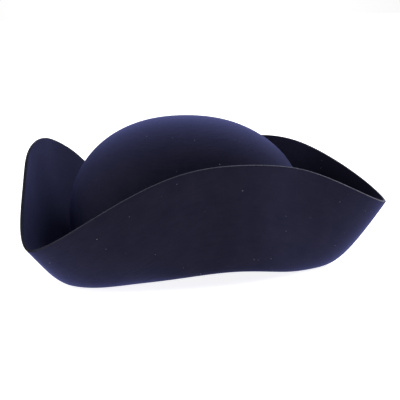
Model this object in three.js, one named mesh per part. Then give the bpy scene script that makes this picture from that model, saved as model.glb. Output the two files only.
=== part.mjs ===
// Tricorn hat of wool felt. Millimetres, +Z up, the wearer's front toward -Y.
// The whole hat is one sheet of felt with a cut rim: a domed crown, a tight bend at the crown's
// foot, and a brim turned up on three sides, so that it stands as three flaps between three
// corners. One corner points forward and two point back to the left and right.
// The sheet is described by its middle surface and given its thickness at the end. A bearing is
// the angle in degrees round the crown, from the front through the wearer's left.

import * as THREE from 'three';

// Felt
const FELT_THICKNESS = 2.4;
const REST_FLAT_DEPTH = 1.0;

// Crown
const CROWN_LENGTH = 208;
const CROWN_WIDTH = 171;
const CROWN_HEIGHT = 126.7;
const WALL_HEIGHT = 37.5;
const DOME_FULLNESS = 2.18;
const BEND_RADIUS = 3.5;

// Brim, from the crown's foot to the cut rim. Lengths in the tables below are shares of it.
const BRIM_WIDTH = 89;
const REAR_CORNER_BEARING = 126.5;

// The section through each corner. reach and rise place the rim outside and above the crown's
// foot, slope is the felt's angle at the rim, and root and tip say how far the felt runs on
// straight from the foot and into the rim before it curves. point says how the felt turns round
// the corner: 2 is a round turn and 1 a crease.
const CORNERS = {
  front: { reach: 0.766, rise: 0.634, slope: 56.7, root: 0.25, tip: 0.79, point: 1.72 },
  rear: { reach: 0.776, rise: 0.409, slope: 48.5, root: 0.37, tip: 0.63, point: 1.58 },
};

// The section through each flap where it stands highest, in the same columns
const FLAPS = {
  side: { reach: 0.216, rise: 0.983, slope: 85, root: 0.11, tip: 0.74 },
  back: { reach: 0.395, rise: 0.933, slope: 85, root: 0.11, tip: 0.74 },
};

// What happens to each flap at its middle: arch lifts the crown's foot off the surface, forward
// moves the highest place toward the front, and draw and peak pull the rim in and up over a
// short way.
const FLAP_MIDDLES = {
  side: { arch: 0.135, forward: 0.057, draw: 0, peak: 0 },
  back: { arch: 0.214, forward: 0, draw: 0.06, peak: 0.055 },
};

// How soon each half of a flap leaves its corner's section: a higher number is a tighter corner.
const HALVES = {
  side_front: { flap: 'side', corner: 'front', reach: 7.2, rise: 8.8 },
  side_rear: { flap: 'side', corner: 'rear', reach: 2.5, rise: 4.4 },
  back: { flap: 'back', corner: 'rear', reach: 4.5, rise: 3.8 },
};
const SECTION_TIGHTNESS = 9;
const ARCH_TIGHTNESS = 2;
const PEAK_TIGHTNESS = 11;

// Mesh steps: along each stretch of a section, and round each flap, closer near the corners
const STEPS = { dome: 9, wall: 2, bend: 3, brim: 11 };
const FLAP_STEPS = 28;
const CORNER_CROWDING = 0.6;
const ROOT_CROWDING = 1.25;
const SLOPE_STEP = 1e-3;

const FELT_COLOUR = '#24242f';

const { degToRad, lerp } = THREE.MathUtils;

// The crown's oval: its radius at a bearing
function ovalRadius(bearing) {
  const angle = degToRad(bearing);
  return 1 / Math.hypot(Math.cos(angle) * 2 / CROWN_LENGTH, Math.sin(angle) * 2 / CROWN_WIDTH);
}

// 1 at a corner and 0 where the flap stands highest
function cornerShare(across, tightness, point = 2) {
  const away = Math.sin(Math.PI * across) ** point;
  return Math.max(1 - away, 0) ** (tightness / 2);
}

// 1 where the flap stands highest and 0 away from there
function peakShare(across) {
  return Math.sin(Math.PI * across) ** PEAK_TIGHTNESS;
}

// The brim's section at a bearing, blended between its corner and its flap
function brimSection(bearing) {
  const turned = THREE.MathUtils.euclideanModulo(bearing, 360);
  const fromFront = Math.min(turned, 360 - turned);
  const onSide = fromFront <= REAR_CORNER_BEARING;
  const plain = onSide
    ? fromFront / REAR_CORNER_BEARING
    : (fromFront - REAR_CORNER_BEARING) / (360 - 2 * REAR_CORNER_BEARING);
  const flapName = onSide ? 'side' : 'back';
  const middle = FLAP_MIDDLES[flapName];
  const across = Math.min(plain + middle.forward * Math.sin(Math.PI * plain) ** 2, 1);
  const half = HALVES[onSide ? (across < 0.5 ? 'side_front' : 'side_rear') : 'back'];
  const flap = FLAPS[half.flap];
  const corner = CORNERS[half.corner];
  const blend = (column, tightness) => (
    lerp(flap[column], corner[column], cornerShare(across, tightness, corner.point))
  );
  return {
    foot: BRIM_WIDTH * middle.arch * (1 - cornerShare(across, ARCH_TIGHTNESS)),
    reach: BRIM_WIDTH * (blend('reach', half.reach) - middle.draw * peakShare(across)),
    rise: BRIM_WIDTH * (blend('rise', half.rise) + middle.peak * peakShare(across)),
    slope: degToRad(blend('slope', SECTION_TIGHTNESS)),
    root: BRIM_WIDTH * blend('root', SECTION_TIGHTNESS),
    tip: BRIM_WIDTH * blend('tip', SECTION_TIGHTNESS),
  };
}

// Each stretch of the section gives the distance out from the crown's axis and the height, for
// a share from 0 to 1 along the stretch

// Dome: a quarter of a full oval, from the top to the head of the wall
function dome(oval, section, share) {
  const angle = (1 - share) * Math.PI / 2;
  const power = 2 / DOME_FULLNESS;
  return {
    out: oval * Math.cos(angle) ** power,
    up: WALL_HEIGHT + (CROWN_HEIGHT - WALL_HEIGHT) * Math.sin(angle) ** power,
  };
}

// Wall: straight down to the bend
function wall(oval, section, share) {
  return { out: oval, up: lerp(WALL_HEIGHT, section.foot + BEND_RADIUS, share) };
}

// Bend: a quarter circle from the wall into the brim
function bend(oval, section, share) {
  const angle = share * Math.PI / 2;
  return {
    out: oval + BEND_RADIUS * (1 - Math.cos(angle)),
    up: section.foot + BEND_RADIUS * (1 - Math.sin(angle)),
  };
}

// Brim: a cubic curve, level at the bend and at the rim's slope at the rim
function brim(oval, section, share) {
  const u = share ** ROOT_CROWDING;
  const weights = [(1 - u) ** 3, 3 * u * (1 - u) ** 2, 3 * u * u * (1 - u), u ** 3];
  const outs = [
    oval + BEND_RADIUS,
    oval + section.root,
    oval + section.reach - section.tip * Math.cos(section.slope),
    oval + section.reach,
  ];
  const ups = [
    section.foot,
    section.foot,
    section.foot + section.rise - section.tip * Math.sin(section.slope),
    section.foot + section.rise,
  ];
  return {
    out: weights.reduce((sum, weight, k) => sum + weight * outs[k], 0),
    up: weights.reduce((sum, weight, k) => sum + weight * ups[k], 0),
  };
}

const STRETCHES = { dome, wall, bend, brim };

// A point on the middle of the felt
function feltPoint(bearing, stretch, share) {
  const { out, up } = STRETCHES[stretch](ovalRadius(bearing), brimSection(bearing), share);
  const angle = degToRad(bearing);
  return new THREE.Vector3(out * Math.sin(angle), -out * Math.cos(angle), up);
}

// The felt's normal: up on the crown's top and out on its wall, inward on the flaps
function feltNormal(bearing, stretch, share) {
  const before = Math.max(share - SLOPE_STEP, 0);
  const after = Math.min(share + SLOPE_STEP, 1);
  const down = feltPoint(bearing, stretch, after).sub(feltPoint(bearing, stretch, before));
  const round = feltPoint(bearing + SLOPE_STEP, stretch, share)
    .sub(feltPoint(bearing - SLOPE_STEP, stretch, share));
  return down.cross(round).normalize();
}

// The rings of the mesh from just below the crown's top to the rim
function ringPlaces() {
  return Object.entries(STEPS).flatMap(([stretch, count]) => (
    Array.from({ length: count }, (_, k) => ({ stretch, share: (k + 1) / count }))
  ));
}

// The bearings of the mesh, one flap after the other
function ringBearings() {
  const ends = [0, REAR_CORNER_BEARING, 360 - REAR_CORNER_BEARING, 360];
  return ends.slice(0, -1).flatMap((start, flap) => (
    Array.from({ length: FLAP_STEPS }, (_, k) => {
      const even = k / FLAP_STEPS;
      const crowded = even - CORNER_CROWDING * Math.sin(2 * Math.PI * even) / (2 * Math.PI);
      return lerp(start, ends[flap + 1], crowded);
    })
  ));
}

// One face of the felt: the point on the crown's top and then the rings, at a distance from the
// middle surface
function feltFace(distance) {
  const top = new THREE.Vector3(0, 0, CROWN_HEIGHT + distance);
  const bearings = ringBearings();
  const rings = ringPlaces().flatMap(({ stretch, share }) => bearings.map((bearing) => (
    feltPoint(bearing, stretch, share)
      .addScaledVector(feltNormal(bearing, stretch, share), distance)
  )));
  return [top, ...rings];
}

// Triangles of one face. Vertex 0 is the crown's top, and ring r holds the next count vertices.
function faceTriangles(rings, count) {
  const at = (ring, place) => 1 + ring * count + place % count;
  const triangles = [];
  for (let place = 0; place < count; place += 1) {
    triangles.push([0, at(0, place), at(0, place + 1)]);
    for (let ring = 0; ring < rings - 1; ring += 1) {
      triangles.push([at(ring, place), at(ring + 1, place), at(ring + 1, place + 1)]);
      triangles.push([at(ring, place), at(ring + 1, place + 1), at(ring, place + 1)]);
    }
  }
  return triangles;
}

// The closed wall: the upper face, the lower face turned over, and the cut rim between them.
// Where the hat rests, its lower face is pressed flat, and that plane is at height 0.
function feltGeometry() {
  const upper = feltFace(FELT_THICKNESS / 2);
  const lower = feltFace(-FELT_THICKNESS / 2);
  const ground = Math.min(...lower.map((point) => point.z)) + REST_FLAT_DEPTH;
  lower.forEach((point) => { point.z = Math.max(point.z, ground); });

  const count = ringBearings().length;
  const rings = ringPlaces().length;
  const face = faceTriangles(rings, count);
  const lowerStart = upper.length;
  const triangles = face.concat(face.map(([a, b, c]) => [lowerStart + a, lowerStart + c, lowerStart + b]));
  const rimStart = 1 + (rings - 1) * count;
  for (let place = 0; place < count; place += 1) {
    const here = rimStart + place;
    const next = rimStart + (place + 1) % count;
    triangles.push([here, lowerStart + here, lowerStart + next]);
    triangles.push([here, lowerStart + next, next]);
  }

  const geometry = new THREE.BufferGeometry().setFromPoints([...upper, ...lower]);
  geometry.setIndex(triangles.flat());
  geometry.computeBoundingBox();
  const centre = geometry.boundingBox.getCenter(new THREE.Vector3());
  geometry.translate(-centre.x, -centre.y, -ground);
  geometry.computeVertexNormals();
  return geometry;
}

const felt = new THREE.MeshStandardMaterial({ color: FELT_COLOUR, roughness: 0.95, metalness: 0 });
const crownAndBrim = new THREE.Mesh(feltGeometry(), felt);
crownAndBrim.name = 'crown_and_brim';

const hat = new THREE.Group();
hat.add(crownAndBrim);

export default hat;
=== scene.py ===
"""Tricorn hat of dark wool felt: its finished surface, a plain stage and the camera.

The hat is one sheet of felt. Lengths are metres unless a name says otherwise, +Z is up and the
wearer's front is toward -Y. A bearing is the angle round the crown in degrees, from the front
through the wearer's left, and lengths in the tables are shares of the brim's width.
"""

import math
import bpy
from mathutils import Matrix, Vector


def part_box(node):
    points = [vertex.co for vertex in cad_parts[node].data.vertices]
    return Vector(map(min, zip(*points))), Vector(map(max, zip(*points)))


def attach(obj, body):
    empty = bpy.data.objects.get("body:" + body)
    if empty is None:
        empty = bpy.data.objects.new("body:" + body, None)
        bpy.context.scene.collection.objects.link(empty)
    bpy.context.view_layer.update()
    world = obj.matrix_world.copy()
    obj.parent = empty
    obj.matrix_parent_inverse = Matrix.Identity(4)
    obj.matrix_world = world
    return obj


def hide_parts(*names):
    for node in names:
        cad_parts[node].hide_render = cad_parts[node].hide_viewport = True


bl_info = {
    "name": "Tricorn Hat",
    "version": (1, 0, 0),
    "blender": (4, 5, 0),
    "location": "View3D > Sidebar > Tricorn",
    "description": "Builds a felt tricorn hat with its finish and a plain stage",
    "category": "Add Mesh",
}

import bpy
import numpy as np
from bpy.props import FloatProperty, FloatVectorProperty, IntProperty, PointerProperty
from mathutils import Matrix, Vector

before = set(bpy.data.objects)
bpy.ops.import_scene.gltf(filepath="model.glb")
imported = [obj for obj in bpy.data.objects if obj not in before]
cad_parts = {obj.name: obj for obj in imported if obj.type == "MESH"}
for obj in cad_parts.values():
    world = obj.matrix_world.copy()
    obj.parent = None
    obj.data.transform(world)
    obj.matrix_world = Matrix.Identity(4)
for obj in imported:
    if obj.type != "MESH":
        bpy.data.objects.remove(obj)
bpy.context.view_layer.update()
HAT_LOW, HAT_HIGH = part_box("crown_and_brim")

MM = 0.001

# Sections of the brim at its corners and where its flaps stand highest. reach and rise place the
# rim outside and above the crown's foot, slope is the felt's angle at the rim in degrees, and root
# and tip say how far the felt runs on straight from the foot and into the rim before it curves.
# point says how the felt turns round a corner: 2 is a round turn and 1 a crease.
CORNERS = {
    "front": {
        "reach": 0.766, "rise": 0.634, "slope": 56.7, "root": 0.25, "tip": 0.79, "point": 1.72},
    "rear": {
        "reach": 0.776, "rise": 0.409, "slope": 48.5, "root": 0.37, "tip": 0.63, "point": 1.58},
}
FLAPS = {
    "side": {"reach": 0.216, "rise": 0.983, "slope": 85, "root": 0.11, "tip": 0.74},
    "back": {"reach": 0.395, "rise": 0.933, "slope": 85, "root": 0.11, "tip": 0.74},
}
# What happens at each flap's middle: arch lifts the crown's foot, forward moves the highest place
# toward the front, and draw and peak pull the rim in and up over a short way
FLAP_MIDDLES = {
    "side": {"arch": 0.135, "forward": 0.057, "draw": 0.0, "peak": 0.0},
    "back": {"arch": 0.214, "forward": 0.0, "draw": 0.06, "peak": 0.055},
}
# How soon each half of a flap leaves its corner's section: a higher number is a tighter corner
HALVES = {
    "side_front": {"flap": "side", "corner": "front", "reach": 7.2, "rise": 8.8},
    "side_rear": {"flap": "side", "corner": "rear", "reach": 2.5, "rise": 4.4},
    "back": {"flap": "back", "corner": "rear", "reach": 4.5, "rise": 3.8},
}
SECTION_TIGHTNESS = 9
ARCH_TIGHTNESS = 2
PEAK_TIGHTNESS = 11

# Rings of the mesh along each stretch of a section, and how closely they sit near its start
RINGS = {"dome": 52, "wall": 10, "bend": 6, "brim": 56}
CROWDING = {"dome": 1.4, "wall": 1.0, "bend": 1.0, "brim": 1.2}
# Points round the cut rim from face to face, and its section: 1 is round and 0 would be square
RIM_POINTS = 9
RIM_ROUNDNESS = 0.3
# Step, in shares and in degrees, from which slopes are taken
SLOPE_STEP = 1e-4
# Shortest length that a vector is divided by
SHORTEST = 1e-12
# Share of the hat's height over which the hand-shaped wave grows from nothing
WAVE_GROWS = 0.25

# Values of a pattern, from 0 to 1, between which the nap turns, a speck of lint grows to its full
# size and the cut lays pale wool bare
NAP_TURNS = (0.25, 0.75)
LINT_GROWS = (0.3, 0.9)
CUT_BARES = (0.35, 0.65)
# Stroke lengths from the crown's top, where strokes would close into rings, to full strength
STROKES_REACH = 4
# Sockets of a Mix node set to colours: the two colours and the result
MIX_FIRST, MIX_SECOND, MIX_RESULT = 6, 7, 2

# Soft boxes of white light: the angles in degrees at which each stands, its distance and width, and
# its power in watts
SOFT_BOXES = {
    "front_box": {"azimuth": 32, "elevation": 32, "distance": 1.6, "width": 2.0, "power": 31},
    "back_box": {"azimuth": 192, "elevation": 28, "distance": 1.6, "width": 1.5, "power": 17},
}
# From the floor's middle to its edges, far enough to lie on the horizon
FLOOR_REACH = 40.0
# Width in millimetres of the picture behind the lens
SENSOR_WIDTH = 36


def linear(hex_colour):
    """Linear red, green and blue of an sRGB hex colour."""
    parts = [int(hex_colour[k:k + 2], 16) / 255 for k in (0, 2, 4)]
    return tuple(p / 12.92 if p <= 0.04045 else ((p + 0.055) / 1.055) ** 2.4 for p in parts)


class HatSizes(bpy.types.PropertyGroup):
    """Sizes of the felt, on the middle of its thickness."""

    crown_length: FloatProperty(
        name="Crown length", description="Front to back across the crown's foot",
        default=208 * MM, min=0.1, max=0.3, unit="LENGTH", subtype="DISTANCE")
    crown_width: FloatProperty(
        name="Crown width", description="Side to side across the crown's foot",
        default=171 * MM, min=0.1, max=0.3, unit="LENGTH", subtype="DISTANCE")
    crown_height: FloatProperty(
        name="Crown height", description="From the foot at a corner to the crown's top",
        default=126.7 * MM, min=0.05, max=0.25, unit="LENGTH", subtype="DISTANCE")
    wall_height: FloatProperty(
        name="Wall height", description="Height at which the wall turns into the dome",
        default=37.5 * MM, min=0.01, max=0.1, unit="LENGTH", subtype="DISTANCE")
    dome_fullness: FloatProperty(
        name="Dome fullness", description="2 is an even oval, and more is squarer",
        default=2.18, min=1.5, max=4.0, subtype="FACTOR")
    bend_radius: FloatProperty(
        name="Bend radius", description="Radius of the bend from the wall into the brim",
        default=3.5 * MM, min=0.002, max=0.01, unit="LENGTH", subtype="DISTANCE")
    brim_width: FloatProperty(
        name="Brim width", description="From the crown's foot to the cut rim",
        default=89 * MM, min=0.04, max=0.15, unit="LENGTH", subtype="DISTANCE")
    rear_corner: FloatProperty(
        name="Rear corners", description="Bearing of the rear corners from the front",
        default=math.radians(126.5), min=1.8, max=2.6, unit="ROTATION", subtype="ANGLE")
    felt_thickness: FloatProperty(
        name="Felt thickness", description="Thickness of the pressed wool",
        default=2.4 * MM, min=0.001, max=0.004, unit="LENGTH", subtype="DISTANCE")
    rest_flat: FloatProperty(
        name="Rest flat", description="How deep the felt is pressed flat where it rests",
        default=1.0 * MM, min=0.0, max=0.0015, unit="LENGTH", subtype="DISTANCE")
    hand_wave: FloatProperty(
        name="Hand-shaped wave", description="How far the felt strays from a perfect form",
        default=0.45 * MM, min=0.0, max=0.003, unit="LENGTH", subtype="DISTANCE")
    rim_round: FloatProperty(
        name="Rim rounding", description="How far the cut rim bulges past its corners",
        default=0.15 * MM, min=0.0, max=0.001, unit="LENGTH", subtype="DISTANCE")
    bearings: IntProperty(
        name="Bearings", description="Mesh columns round the hat", default=360, min=72, max=400)


class FeltFinish(bpy.types.PropertyGroup):
    """Colours and surface of the wool felt."""

    wool: FloatVectorProperty(
        name="Wool", description="Dyed wool, a navy that is almost black",
        default=linear("1a1a26"), size=3, min=0, max=1, subtype="COLOR")
    wool_worn: FloatVectorProperty(
        name="Worn wool", description="Wool where the nap lies the other way",
        default=linear("211f2b"), size=3, min=0, max=1, subtype="COLOR")
    bloom: FloatVectorProperty(
        name="Bloom", description="Colour of the nap's sheen at a low angle",
        default=linear("949df8"), size=3, min=0, max=1, subtype="COLOR")
    cut: FloatVectorProperty(
        name="Cut edge", description="Wool laid bare by the cut at the rim",
        default=linear("2a2c35"), size=3, min=0, max=1, subtype="COLOR")
    # Painted highlight: paler colour painted on the cut edge toward the front corner, where the
    # front light catches the rim
    painted_front_highlight: FloatVectorProperty(
        name="Highlit cut edge", description="Cut edge greyed by hands, toward the front corner",
        default=linear("707179"), size=3, min=0, max=1, subtype="COLOR")
    fuzz: FloatVectorProperty(
        name="Fuzz", description="Colour of the cut fibres' sheen at a low angle",
        default=linear("c4c8e8"), size=3, min=0, max=1, subtype="COLOR")
    lint: FloatVectorProperty(
        name="Lint", description="Specks of pale lint caught in the nap",
        default=linear("9898a8"), size=3, min=0, max=1, subtype="COLOR")
    nap_size: FloatProperty(
        name="Nap size", description="Width of a tuft of the nap",
        default=1.4 * MM, min=0.0002, max=0.01, unit="LENGTH", subtype="DISTANCE")
    nap_depth: FloatProperty(
        name="Nap depth", description="Height of the nap's relief",
        default=0.18 * MM, min=0.0, max=0.001, unit="LENGTH", subtype="DISTANCE")
    stroke_length: FloatProperty(
        name="Stroke length", description="Length of a brush stroke in the nap, round the hat",
        default=13 * MM, min=0.002, max=0.1, unit="LENGTH", subtype="DISTANCE")
    stroke_width: FloatProperty(
        name="Stroke width", description="Width of a brush stroke in the nap",
        default=3.0 * MM, min=0.0005, max=0.02, unit="LENGTH", subtype="DISTANCE")
    stroke_share: FloatProperty(
        name="Stroke share", description="How strongly the strokes show beside the patches",
        default=0.45, min=0.0, max=1.0, subtype="FACTOR")
    stroke_relief: FloatProperty(
        name="Stroke relief", description="How strongly the strokes stand out beside the nap",
        default=3.0, min=0.0, max=8.0, subtype="FACTOR")
    cloud_size: FloatProperty(
        name="Cloud size", description="Width of the patches where the nap turns",
        default=16 * MM, min=0.005, max=0.1, unit="LENGTH", subtype="DISTANCE")
    lint_spacing: FloatProperty(
        name="Lint spacing", description="Distance between places where a speck may lie",
        default=5.9 * MM, min=0.002, max=0.1, unit="LENGTH", subtype="DISTANCE")
    lint_size: FloatProperty(
        name="Lint size", description="Radius of the largest speck",
        default=0.32 * MM, min=0.0001, max=0.002, unit="LENGTH", subtype="DISTANCE")
    thread_stretch: FloatProperty(
        name="Thread stretch", description="How much longer than wide a caught thread is",
        default=4.0, min=1.0, max=12.0, subtype="FACTOR")


class StageSettings(bpy.types.PropertyGroup):
    """Floor, air and camera."""

    floor: FloatVectorProperty(
        name="Floor", description="Pale opal sheet on which the hat rests",
        default=linear("f4f4f6"), size=3, min=0, max=1, subtype="COLOR")
    floor_glow: FloatProperty(
        name="Floor glow", description="Light that comes up through the opal sheet",
        default=0.97, min=0, max=2)
    air: FloatVectorProperty(
        name="Surroundings", description="Colour of the pale surroundings",
        default=linear("ffffff"), size=3, min=0, max=1, subtype="COLOR")
    air_strength: FloatProperty(
        name="Surroundings strength", description="Brightness of the surroundings on every side",
        default=0.12, min=0, max=3)
    backdrop: FloatProperty(
        name="Backdrop", description="What the surroundings gain behind the hat",
        default=0.95, min=0, max=3)
    backdrop_narrowness: FloatProperty(
        name="Backdrop narrowness", description="How soon the backdrop fades to the sides",
        default=5, min=1, max=40, subtype="FACTOR")
    azimuth: FloatProperty(
        name="Camera azimuth", description="Bearing of the camera, from the front",
        default=math.radians(-76.2), unit="ROTATION", subtype="ANGLE")
    elevation: FloatProperty(
        name="Camera elevation", description="Angle of the camera above the horizon",
        default=math.radians(10.8), unit="ROTATION", subtype="ANGLE")
    roll: FloatProperty(
        name="Camera roll", description="Turn of the camera about its own line of sight",
        default=math.radians(-1.3), unit="ROTATION", subtype="ANGLE")
    distance: FloatProperty(
        name="Camera distance", description="From the camera to the middle of the crown",
        default=0.831, min=0.2, max=5, unit="LENGTH", subtype="DISTANCE")
    aim_height: FloatProperty(
        name="Aim height", description="Height in the crown that the camera turns about",
        default=60.5 * MM, min=0, max=0.2, unit="LENGTH", subtype="DISTANCE")
    aim_right: FloatProperty(
        name="Aim right", description="How far right of that point the camera looks",
        default=12.1 * MM, min=-0.2, max=0.2, unit="LENGTH", subtype="DISTANCE")
    aim_up: FloatProperty(
        name="Aim up", description="How far above that point the camera looks",
        default=-6.8 * MM, min=-0.2, max=0.2, unit="LENGTH", subtype="DISTANCE")
    lens: FloatProperty(
        name="Lens", description="Focal length in millimetres, on a 36 mm wide picture",
        default=84.8, min=20, max=300, unit="CAMERA")


def section_at(sizes, bearing):
    """The brim's section at each bearing, in degrees, as a dict of arrays.

    Across a flap a share runs from 0 at one corner to 1 at the next. With away = sin(pi * share),
    (1 - away ** point) ** (tightness / 2) is 1 at a corner and 0 where the flap stands highest. It
    blends the rows of the two tables, and away ** PEAK_TIGHTNESS is the short pull at the middle.
    """
    rear = math.degrees(sizes.rear_corner)
    turned = np.mod(bearing, 360)
    from_front = np.minimum(turned, 360 - turned)
    on_side = from_front <= rear
    plain = np.where(on_side, from_front / rear, (from_front - rear) / (360 - 2 * rear))

    def middle(name):
        return np.where(on_side, FLAP_MIDDLES["side"][name], FLAP_MIDDLES["back"][name])

    across = np.clip(plain + middle("forward") * np.sin(np.pi * plain) ** 2, 0, 1)
    away = np.abs(np.sin(np.pi * across))
    halves = [on_side & (across < 0.5), on_side & (across >= 0.5), ~on_side]

    def column(table, key, name):
        return np.select(halves, [float(table[half[key]][name]) for half in HALVES.values()])

    def tightness(name):
        return np.select(halves, [float(half[name]) for half in HALVES.values()])

    def corner_share(power, point):
        return np.maximum(1 - away ** point, 0) ** (power / 2)

    def blend(name, power):
        share = corner_share(power, column(CORNERS, "corner", "point"))
        return column(FLAPS, "flap", name) * (1 - share) + column(CORNERS, "corner", name) * share

    width = sizes.brim_width
    pull = away ** PEAK_TIGHTNESS
    return {
        "foot": width * middle("arch") * (1 - corner_share(ARCH_TIGHTNESS, 2)),
        "reach": width * (blend("reach", tightness("reach")) - middle("draw") * pull),
        "rise": width * (blend("rise", tightness("rise")) + middle("peak") * pull),
        "slope": np.radians(blend("slope", SECTION_TIGHTNESS)),
        "root": width * blend("root", SECTION_TIGHTNESS),
        "tip": width * blend("tip", SECTION_TIGHTNESS),
    }


def oval_radius(sizes, bearing):
    """Radius of the crown's oval, an ellipse of the crown's length and width."""
    angle = np.radians(bearing)
    along = np.cos(angle) * 2 / sizes.crown_length
    across = np.sin(angle) * 2 / sizes.crown_width
    return 1 / np.hypot(along, across)


def dome(sizes, oval, section, share):
    """Quarter of a full oval from the top: (cos a, sin a), each raised to 2 / fullness."""
    angle = (1 - share) * np.pi / 2
    power = 2 / sizes.dome_fullness
    out = oval * np.abs(np.cos(angle)) ** power
    rise = sizes.crown_height - sizes.wall_height
    return out, sizes.wall_height + rise * np.abs(np.sin(angle)) ** power + 0 * oval


def wall(sizes, oval, section, share):
    """Straight down from the dome to the bend."""
    low = section["foot"] + sizes.bend_radius
    return oval + 0 * share, sizes.wall_height + (low - sizes.wall_height) * share


def bend(sizes, oval, section, share):
    """Quarter circle from the wall, going down, into the brim, going out."""
    angle = share * np.pi / 2
    out = oval + sizes.bend_radius * (1 - np.cos(angle))
    return out, section["foot"] + sizes.bend_radius * (1 - np.sin(angle))


def brim(sizes, oval, section, share):
    """Cubic Bezier curve, level at the bend and at the rim's slope at the rim."""
    weights = (
        (1 - share) ** 3, 3 * share * (1 - share) ** 2, 3 * share ** 2 * (1 - share), share ** 3)
    foot, reach, rise = section["foot"], section["reach"], section["rise"]
    outs = (oval + sizes.bend_radius, oval + section["root"],
            oval + reach - section["tip"] * np.cos(section["slope"]), oval + reach)
    ups = (foot, foot, foot + rise - section["tip"] * np.sin(section["slope"]), foot + rise)
    out = sum(weight * value for weight, value in zip(weights, outs))
    up = sum(weight * value for weight, value in zip(weights, ups))
    return out, up


STRETCHES = {"dome": dome, "wall": wall, "bend": bend, "brim": brim}


def middle_surface(sizes, stretch, share, bearing):
    """Points of the felt's middle for columns of shares and rows of bearings, as an array.

    The section gives the distance out and the height, and the bearing turns it round the axis.
    """
    section = section_at(sizes, bearing)
    out, up = STRETCHES[stretch](sizes, oval_radius(sizes, bearing), section, share)
    angle = np.radians(bearing)
    return np.stack([out * np.sin(angle), -out * np.cos(angle), up + 0 * out], axis=-1)


def unit(vectors):
    """Vectors scaled to length 1."""
    return vectors / np.maximum(np.linalg.norm(vectors, axis=-1, keepdims=True), SHORTEST)


def felt_grid(sizes):
    """Points, normals and outward tangents of the middle surface, ring by ring from the top.

    The normal is the cross product of the steps along the section and round the hat, taken from
    small differences of the same formula.
    """
    bearing = np.linspace(0, 360, sizes.bearings, endpoint=False)[None, :]
    points, normals, tangents = [], [], []
    for stretch, count in RINGS.items():
        share = ((np.arange(count) + 1) / count)[:, None] ** CROWDING[stretch]
        before, after = np.maximum(share - SLOPE_STEP, 0), np.minimum(share + SLOPE_STEP, 1)
        along = (middle_surface(sizes, stretch, after, bearing)
                 - middle_surface(sizes, stretch, before, bearing))
        turn = (middle_surface(sizes, stretch, share, bearing + SLOPE_STEP)
                - middle_surface(sizes, stretch, share, bearing - SLOPE_STEP))
        points.append(middle_surface(sizes, stretch, share, bearing))
        normals.append(unit(np.cross(unit(along), unit(turn))))
        tangents.append(unit(along))
    return tuple(np.concatenate(rows) for rows in (points, normals, tangents))


def hand_wave(points, height):
    """Slow unevenness of hand-blocked felt: three crossed sine waves of the place, from -1 to 1.

    Each divisor is the number of millimetres in which its sine turns by one radian. They are
    primes, so that the sines don't fall in step. The wave fades out toward the surface below.
    """
    x, y, z = np.moveaxis(points, -1, 0) / MM
    wave = (0.5 * np.sin(x / 23 + 1.3) * np.sin(y / 31 + 0.4)
            + 0.3 * np.sin(z / 19 + x / 47 + 2.1)
            + 0.2 * np.sin(y / 13 + z / 17) * np.cos(x / 17 - z / 29))
    return wave * np.clip(z * MM / (WAVE_GROWS * height), 0, 1)


def cut_rim(sizes, edge, normals, tangents):
    """Rings of points round the cut rim, between the edges of the upper and the lower face.

    The section is half a rounded square: (cos a, sin a), each raised to RIM_ROUNDNESS, where the
    cosine goes past the edge and the sine to its two sides.
    """
    turn = np.linspace(np.pi / 2, -np.pi / 2, RIM_POINTS)[1:-1, None, None]
    aside = np.sign(np.sin(turn)) * np.abs(np.sin(turn)) ** RIM_ROUNDNESS
    past = np.abs(np.cos(turn)) ** RIM_ROUNDNESS
    return edge + sizes.felt_thickness / 2 * aside * normals + sizes.rim_round * past * tangents


def felt_faces(loops, count):
    """Quads between neighbouring rings and triangles at both ends, as arrays of vertex numbers.

    Vertex 0 is the top of the upper face, each ring holds the next count vertices, and the last
    vertex is the top of the lower face.
    """
    number = 1 + np.arange(loops * count).reshape(loops, count)
    after = np.roll(number, -1, axis=1)
    quads = np.stack([number[:-1], number[1:], after[1:], after[:-1]], axis=-1).reshape(-1, 4)
    first, last = np.zeros(count, int), np.full(count, 1 + loops * count)
    triangles = np.concatenate([
        np.stack([first, number[0], after[0]], axis=-1),
        np.stack([last, after[-1], number[-1]], axis=-1),
    ])
    return quads, triangles


def run_from_top(points, peak, rim_rings):
    """Distance along the felt from the crown's top to each vertex.

    It adds up the steps from ring to ring of the middle surface, and both faces share it. The cut
    rim has the distance of the last ring.
    """
    start = np.broadcast_to(peak, (1, *points.shape[1:]))
    steps = np.linalg.norm(np.diff(np.concatenate([start, points]), axis=0), axis=-1)
    run = steps.cumsum(axis=0)
    rings = np.concatenate([run, np.repeat(run[-1:], rim_rings, axis=0), run[::-1]])
    return np.concatenate([[0.0], rings.ravel(), [0.0]])


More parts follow.
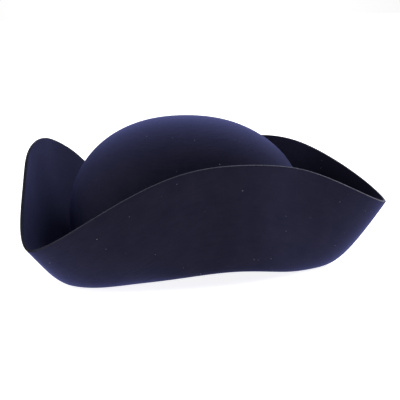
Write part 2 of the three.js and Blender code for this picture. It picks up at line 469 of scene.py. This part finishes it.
def felt_body(sizes):
    """Vertices, quads and triangles of the closed felt wall, then run and on_rim.

    The upper face is the middle surface moved half a thickness along its normal, and the lower
    face the same the other way, pressed flat where it rests. The cut rim joins them. run is each
    vertex's distance from the crown's top along the felt, and on_rim is 1 for the faces of the cut
    rim and 0 for the others.
    """
    points, normals, tangents = felt_grid(sizes)
    rings, count = points.shape[:2]
    half = sizes.felt_thickness / 2
    height = sizes.crown_height
    peak = np.array([0.0, 0.0, height])
    lift = np.array([0.0, 0.0, half])
    moved = points + normals * (sizes.hand_wave * hand_wave(points, height))[..., None]
    top = peak + [0.0, 0.0, sizes.hand_wave * hand_wave(peak, height)]
    rim = cut_rim(sizes, moved[-1], normals[-1], tangents[-1])

    even = points - half * normals
    ground = even[..., 2].min() + sizes.rest_flat
    upper = moved + half * normals
    lower = moved - half * normals
    lower[..., 2] = np.maximum(lower[..., 2], ground)
    vertices = np.concatenate([
        [top + lift], upper.reshape(-1, 3), rim.reshape(-1, 3),
        lower[::-1].reshape(-1, 3), [top - lift],
    ])
    middle_y = (even[..., 1].min() + even[..., 1].max()) / 2
    centre = (HAT_LOW + HAT_HIGH) / 2
    vertices += np.array([centre.x, centre.y - middle_y, HAT_LOW.z - ground])

    quads, triangles = felt_faces(2 * rings + len(rim), count)
    on_rim = np.zeros(len(quads) + len(triangles), dtype=np.int32)
    on_rim[(rings - 1) * count:(rings + len(rim)) * count] = 1
    return vertices, quads, triangles, run_from_top(points, peak, len(rim)), on_rim


def mesh_object(name, vertices, quads, triangles):
    """A smooth-shaded mesh object at the origin, from arrays of vertices, quads and triangles."""
    mesh = bpy.data.meshes.new(name)
    corners = np.concatenate([quads.ravel(), triangles.ravel()]).astype(np.int32)
    sizes = np.concatenate([np.full(len(quads), 4), np.full(len(triangles), 3)])
    starts = np.concatenate([[0], np.cumsum(sizes)[:-1]]).astype(np.int32)
    mesh.vertices.add(len(vertices))
    mesh.vertices.foreach_set("co", vertices.astype(np.float32).ravel())
    mesh.loops.add(len(corners))
    mesh.loops.foreach_set("vertex_index", corners)
    mesh.polygons.add(len(sizes))
    mesh.polygons.foreach_set("loop_start", starts)
    mesh.polygons.foreach_set("use_smooth", np.ones(len(sizes), dtype=bool))
    mesh.update(calc_edges=True)
    mesh.validate()
    made = bpy.data.objects.new(name, mesh)
    bpy.context.scene.collection.objects.link(made)
    return made


def add_node(tree, kind, settings=None, inputs=None):
    """A node of a kind, with its settings, and its inputs set to values or linked to sockets."""
    node = tree.nodes.new(kind)
    for name, value in (settings or {}).items():
        setattr(node, name, value)
    for name, value in (inputs or {}).items():
        if isinstance(value, bpy.types.NodeSocket):
            tree.links.new(value, node.inputs[name])
        else:
            node.inputs[name].default_value = value
    return node


def new_material(name):
    """A material with an empty node tree and its output, as (material, tree, output)."""
    material = bpy.data.materials.new(name)
    material.use_nodes = True
    tree = material.node_tree
    tree.nodes.clear()
    return material, tree, add_node(tree, "ShaderNodeOutputMaterial")


def wool_felt(finish):
    """Pressed wool felt, blocked by steam and brushed: a matt, light-eating nap.

    Short fibres stand off the surface and catch light at a low angle, which gives the violet
    bloom along every edge. The nap turns in slow patches and lies in strokes round the hat, as it
    was brushed, and pale specks and threads of lint sit in it. Loose fibres have almost no mirror
    shine, so the specular level is low. The nap is drawn a few times coarser than the fibres.
    """
    material, tree, output = new_material("navy_wool_felt")
    place = add_node(tree, "ShaderNodeTexCoord").outputs["Object"]
    clouds = add_node(tree, "ShaderNodeTexNoise", inputs={
        "Vector": place, "Scale": 1 / finish.cloud_size, "Detail": 3.0, "Roughness": 0.55})
    nap = add_node(tree, "ShaderNodeTexNoise", inputs={
        "Vector": place, "Scale": 1 / finish.nap_size, "Detail": 4.0, "Roughness": 0.65})
    run = add_node(tree, "ShaderNodeAttribute", {"attribute_name": "run"}).outputs["Fac"]
    apart = add_node(tree, "ShaderNodeSeparateXYZ", inputs={"Vector": place})
    round_hat = add_node(tree, "ShaderNodeCombineXYZ", inputs={
        "X": apart.outputs["X"], "Y": apart.outputs["Y"], "Z": run})
    stroke_place = add_node(tree, "ShaderNodeVectorMath", {"operation": "MULTIPLY"}, {
        0: round_hat.outputs["Vector"],
        1: (1 / finish.stroke_length, 1 / finish.stroke_length, 1 / finish.stroke_width)})
    strokes = add_node(tree, "ShaderNodeTexNoise", inputs={
        "Vector": stroke_place.outputs["Vector"], "Scale": 1.0, "Detail": 2.0, "Roughness": 0.5})
    off_top = add_node(tree, "ShaderNodeMapRange", inputs={
        "Value": run, "From Min": finish.stroke_length,
        "From Max": STROKES_REACH * finish.stroke_length, "To Max": finish.stroke_share})
    centred = add_node(tree, "ShaderNodeMath", {"operation": "SUBTRACT"}, {
        0: strokes.outputs["Fac"], 1: 0.5})
    brushed = add_node(tree, "ShaderNodeMath", {"operation": "MULTIPLY"}, {
        0: centred.outputs["Value"], 1: off_top.outputs["Result"]})
    lie = add_node(tree, "ShaderNodeMath", {"operation": "ADD"}, {
        0: clouds.outputs["Fac"], 1: brushed.outputs["Value"]})
    turned = add_node(tree, "ShaderNodeMapRange", inputs={
        "Value": lie.outputs["Value"], "From Min": NAP_TURNS[0], "From Max": NAP_TURNS[1]})
    wool = add_node(tree, "ShaderNodeMix", {"data_type": "RGBA"}, {
        "Factor": turned.outputs["Result"],
        MIX_FIRST: (*finish.wool, 1), MIX_SECOND: (*finish.wool_worn, 1)})

    # Round specks, then threads, which are specks drawn out upright
    largest = finish.lint_size / finish.lint_spacing
    shown = wool.outputs[MIX_RESULT]
    for stretch in (1.0, finish.thread_stretch):
        pulled = add_node(tree, "ShaderNodeVectorMath", {"operation": "MULTIPLY"}, {
            0: place, 1: (1.0, 1.0, 1 / stretch)})
        specks = add_node(tree, "ShaderNodeTexVoronoi", inputs={
            "Vector": pulled.outputs["Vector"], "Scale": 1 / finish.lint_spacing,
            "Randomness": 1.0})
        radius = add_node(tree, "ShaderNodeMapRange", inputs={
            "Value": specks.outputs["Color"], "From Min": LINT_GROWS[0], "From Max": LINT_GROWS[1],
            "To Max": largest / stretch ** 0.5})
        is_lint = add_node(tree, "ShaderNodeMath", {"operation": "LESS_THAN"}, {
            0: specks.outputs["Distance"], 1: radius.outputs["Result"]})
        linted = add_node(tree, "ShaderNodeMix", {"data_type": "RGBA"}, {
            "Factor": is_lint.outputs["Value"], MIX_FIRST: shown, MIX_SECOND: (*finish.lint, 1)})
        shown = linted.outputs[MIX_RESULT]

    height = add_node(tree, "ShaderNodeMath", {"operation": "MULTIPLY_ADD"}, {
        0: brushed.outputs["Value"], 1: finish.stroke_relief, 2: nap.outputs["Fac"]})
    relief = add_node(tree, "ShaderNodeBump", inputs={
        "Strength": 0.8, "Distance": finish.nap_depth, "Height": height.outputs["Value"]})
    rough = add_node(tree, "ShaderNodeMapRange", inputs={
        "Value": nap.outputs["Fac"], "To Min": 0.82, "To Max": 1.0})
    shader = add_node(tree, "ShaderNodeBsdfPrincipled", inputs={
        "Base Color": shown, "Roughness": rough.outputs["Result"],
        "IOR": 1.45, "Specular IOR Level": 0.02, "Metallic": 0.0,
        "Sheen Weight": 0.43, "Sheen Roughness": 0.47, "Sheen Tint": (*finish.bloom, 1),
        "Normal": relief.outputs["Normal"]})
    tree.links.new(shader.outputs["BSDF"], output.inputs["Surface"])
    return material


def cut_felt(finish):
    """Edge of pressed wool felt as the knife leaves it: greyer than the nap.

    The pressed layers show as a fine grain, and the short cut fibres catch light at a low angle.
    From the hat's middle to its front corner the edge is painted paler: a painted highlight where
    the front light catches the rim.
    """
    material, tree, output = new_material("cut_wool_felt")
    place = add_node(tree, "ShaderNodeTexCoord").outputs["Object"]
    grain = add_node(tree, "ShaderNodeTexNoise", inputs={
        "Vector": place, "Scale": 1 / finish.nap_size, "Detail": 3.0, "Roughness": 0.6})
    bared = add_node(tree, "ShaderNodeMapRange", inputs={
        "Value": grain.outputs["Fac"], "From Min": CUT_BARES[0], "From Max": CUT_BARES[1]})
    apart = add_node(tree, "ShaderNodeSeparateXYZ", inputs={"Vector": place})
    # Painted highlight: the cut edge turns from its own colour to a paler painted one from the
    # hat's middle to its front corner
    toward_front = add_node(tree, "ShaderNodeMapRange", inputs={
        "Value": apart.outputs["Y"],
        "From Min": (HAT_LOW.y + HAT_HIGH.y) / 2, "From Max": HAT_LOW.y})
    bare = add_node(tree, "ShaderNodeMix", {"data_type": "RGBA"}, {
        "Factor": toward_front.outputs["Result"],
        MIX_FIRST: (*finish.cut, 1), MIX_SECOND: (*finish.painted_front_highlight, 1)})
    colour = add_node(tree, "ShaderNodeMix", {"data_type": "RGBA"}, {
        "Factor": bared.outputs["Result"],
        MIX_FIRST: (*finish.wool_worn, 1), MIX_SECOND: bare.outputs[MIX_RESULT]})
    relief = add_node(tree, "ShaderNodeBump", inputs={
        "Strength": 0.6, "Distance": finish.nap_depth, "Height": grain.outputs["Fac"]})
    shader = add_node(tree, "ShaderNodeBsdfPrincipled", inputs={
        "Base Color": colour.outputs[MIX_RESULT], "Roughness": 1.0, "Specular IOR Level": 0.02,
        "Sheen Weight": 0.4, "Sheen Roughness": 0.3, "Sheen Tint": (*finish.fuzz, 1),
        "Normal": relief.outputs["Normal"]})
    tree.links.new(shader.outputs["BSDF"], output.inputs["Surface"])
    return material


def opal_acrylic(settings):
    """Opal acrylic sheet, cast and matt, lit evenly from below: a pale floor with faint shadows."""
    material, tree, output = new_material("opal_acrylic")
    shader = add_node(tree, "ShaderNodeBsdfPrincipled", inputs={
        "Base Color": (*settings.floor, 1), "Roughness": 0.95, "Specular IOR Level": 0.1,
        "Emission Color": (*settings.floor, 1), "Emission Strength": settings.floor_glow})
    tree.links.new(shader.outputs["BSDF"], output.inputs["Surface"])
    return material


def direction(azimuth, elevation):
    """Unit vector from the hat toward a bearing and an angle above the horizon, in radians."""
    return Vector((math.sin(azimuth) * math.cos(elevation),
                   -math.cos(azimuth) * math.cos(elevation), math.sin(elevation)))


class TRICORN_OT_felt(bpy.types.Operator):
    """Adds the felt of the hat, crown and brim in one piece"""

    bl_idname = "tricorn.add_felt"
    bl_label = "Add felt hat"

    def execute(self, context):
        sizes, finish = context.scene.tricorn_sizes, context.scene.tricorn_finish
        vertices, quads, triangles, run, on_rim = felt_body(sizes)
        hat = mesh_object("felt_hat", vertices, quads, triangles)
        attribute = hat.data.attributes.new("run", "FLOAT", "POINT")
        attribute.data.foreach_set("value", run.astype(np.float32))
        hat.data.materials.append(wool_felt(finish))
        hat.data.materials.append(cut_felt(finish))
        hat.data.polygons.foreach_set("material_index", on_rim)
        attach(hat, "root")
        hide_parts("crown_and_brim")
        return {"FINISHED"}


class TRICORN_OT_stage(bpy.types.Operator):
    """Adds a pale floor, soft studio lights and the camera"""

    bl_idname = "tricorn.add_stage"
    bl_label = "Add stage"

    def add_floor(self, settings):
        corners = np.array([(-1, -1, 0), (1, -1, 0), (1, 1, 0), (-1, 1, 0)]) * FLOOR_REACH
        floor = mesh_object("floor", corners, np.array([[0, 1, 2, 3]]), np.zeros((0, 3), int))
        floor.data.materials.append(opal_acrylic(settings))

    def add_air(self, context, settings):
        """Pale surroundings, with a lit backdrop behind the hat.

        The backdrop's share is the cosine of the angle from its middle, raised to a power.
        """
        air = bpy.data.worlds.new("pale_air")
        air.use_nodes = True
        tree = air.node_tree
        tree.nodes.clear()
        toward = add_node(tree, "ShaderNodeTexCoord").outputs["Generated"]
        cosine = add_node(tree, "ShaderNodeVectorMath", {"operation": "DOT_PRODUCT"}, {
            0: toward, 1: -direction(settings.azimuth, 0)})
        facing = add_node(tree, "ShaderNodeMath", {"operation": "MAXIMUM"}, {
            0: cosine.outputs["Value"], 1: 0.0})
        lobe = add_node(tree, "ShaderNodeMath", {"operation": "POWER"}, {
            0: facing.outputs["Value"], 1: settings.backdrop_narrowness})
        strength = add_node(tree, "ShaderNodeMath", {"operation": "MULTIPLY_ADD"}, {
            0: lobe.outputs["Value"], 1: settings.backdrop, 2: settings.air_strength})
        glow = add_node(tree, "ShaderNodeBackground", inputs={
            "Color": (*settings.air, 1), "Strength": strength.outputs["Value"]})
        add_node(tree, "ShaderNodeOutputWorld", inputs={"Surface": glow.outputs["Background"]})
        context.scene.world = air

    def add_light(self, context, name, middle, row):
        lamp = bpy.data.lights.new(name, "AREA")
        lamp.shape = "DISK"
        lamp.size = row["width"]
        lamp.energy = row["power"]
        away = direction(math.radians(row["azimuth"]), math.radians(row["elevation"]))
        made = bpy.data.objects.new(name, lamp)
        made.location = middle + away * row["distance"]
        made.rotation_euler = away.to_track_quat("Z", "Y").to_euler()
        context.scene.collection.objects.link(made)

    def add_camera(self, context, settings, aim):
        back = direction(settings.azimuth, settings.elevation)
        right = Vector((math.cos(settings.azimuth), math.sin(settings.azimuth), 0))
        upward = back.cross(right)
        place = aim + back * settings.distance
        look_at = aim + right * settings.aim_right + upward * settings.aim_up
        away = (place - look_at).normalized()
        across = Vector((0, 0, 1)).cross(away).normalized()
        above = away.cross(across)
        cosine, sine = math.cos(settings.roll), math.sin(settings.roll)
        turned_across = across * cosine + above * sine
        turned_above = above * cosine - across * sine
        lens = bpy.data.cameras.new("camera")
        lens.lens = settings.lens
        lens.sensor_width = SENSOR_WIDTH
        made = bpy.data.objects.new("camera", lens)
        turn = Matrix((turned_across, turned_above, away)).transposed()
        made.matrix_world = Matrix.Translation(place) @ turn.to_4x4()
        context.scene.collection.objects.link(made)
        context.scene.camera = made

    def execute(self, context):
        settings = context.scene.tricorn_stage
        crown_top = bpy.data.objects["felt_hat"].data.vertices[0].co
        aim = Vector((crown_top.x, crown_top.y, settings.aim_height))
        self.add_floor(settings)
        self.add_air(context, settings)
        for name, row in SOFT_BOXES.items():
            self.add_light(context, name, aim, row)
        self.add_camera(context, settings, aim)
        context.scene.view_settings.view_transform = "Standard"
        return {"FINISHED"}


class TRICORN_PT_panel(bpy.types.Panel):
    """The hat's sizes, finish and stage, with a button for each piece"""

    bl_idname = "TRICORN_PT_panel"
    bl_label = "Tricorn hat"
    bl_space_type = "VIEW_3D"
    bl_region_type = "UI"
    bl_category = "Tricorn"

    def draw(self, context):
        for title, group in (("Sizes", context.scene.tricorn_sizes),
                             ("Felt", context.scene.tricorn_finish),
                             ("Stage", context.scene.tricorn_stage)):
            box = self.layout.box()
            box.label(text=title)
            for name in group.__annotations__:
                box.prop(group, name)
        for operator in (TRICORN_OT_felt, TRICORN_OT_stage):
            self.layout.operator(operator.bl_idname)


CLASSES = (HatSizes, FeltFinish, StageSettings, TRICORN_OT_felt, TRICORN_OT_stage, TRICORN_PT_panel)


def register():
    for each in CLASSES:
        bpy.utils.register_class(each)
    bpy.types.Scene.tricorn_sizes = PointerProperty(type=HatSizes)
    bpy.types.Scene.tricorn_finish = PointerProperty(type=FeltFinish)
    bpy.types.Scene.tricorn_stage = PointerProperty(type=StageSettings)


def unregister():
    del bpy.types.Scene.tricorn_stage
    del bpy.types.Scene.tricorn_finish
    del bpy.types.Scene.tricorn_sizes
    for each in reversed(CLASSES):
        bpy.utils.unregister_class(each)


def main():
    register()
    bpy.ops.tricorn.add_felt()
    bpy.ops.tricorn.add_stage()


if __name__ == "__main__":
    main()
